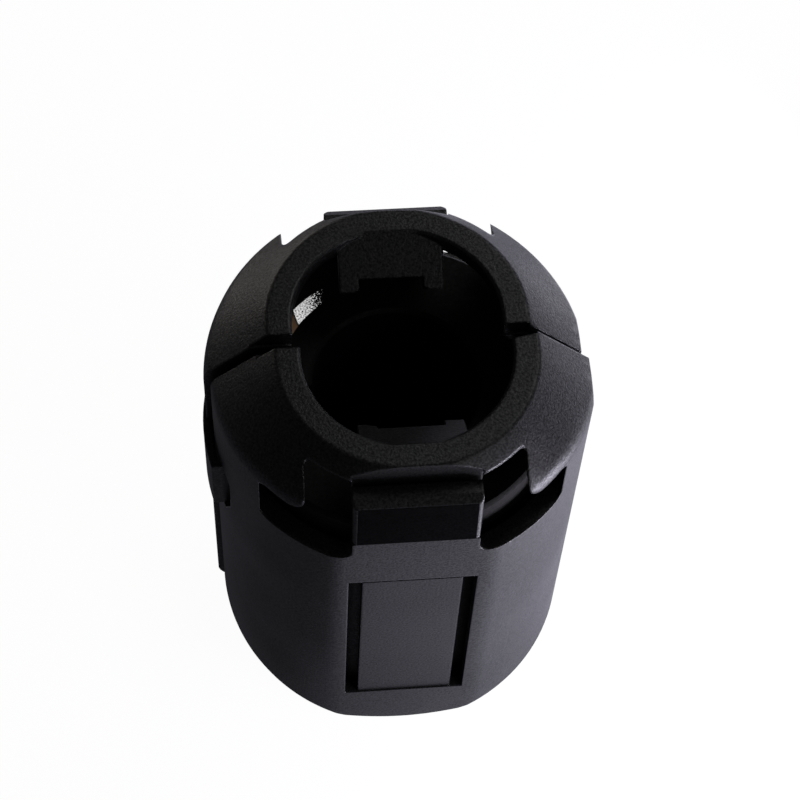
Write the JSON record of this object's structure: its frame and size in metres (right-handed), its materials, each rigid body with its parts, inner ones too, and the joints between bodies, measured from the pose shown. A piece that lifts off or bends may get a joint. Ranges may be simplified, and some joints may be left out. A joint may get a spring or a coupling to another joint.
{
  "type": "clip-on ferrite bead",
  "caption": "Round clip-on ferrite bead: a hinged plastic case that snaps shut around a cable and holds a split ferrite core.",
  "frame": {"origin": "middle of the cable bore, on the bore's axis", "axes": "+Z along the cable bore, +Y towards the rear half, +X towards the hinge"},
  "size_m": [0.0302, 0.027, 0.044],
  "materials": {
    "case_plastic": "fine-grained moulded nylon, matte black",
    "ferrite": "fired ferrite ceramic, dark grey, dull sheen"
  },
  "bodies": {
    "rear_half": {"rear_shell": "case_plastic", "rear_core": "ferrite", "latch_strap": "case_plastic", "film_hinge": "case_plastic"},
    "front_half": {"front_shell": "case_plastic", "front_core": "ferrite"}
  },
  "joints": [
    {"name": "case_hinge", "type": "hinge", "parent": "rear_half", "child": "front_half", "pos_m": [0.015, 0, 0], "axis": [0, 0, 1], "range_deg": [0, 170], "deforming": ["latch_strap", "film_hinge"]}
  ]
}
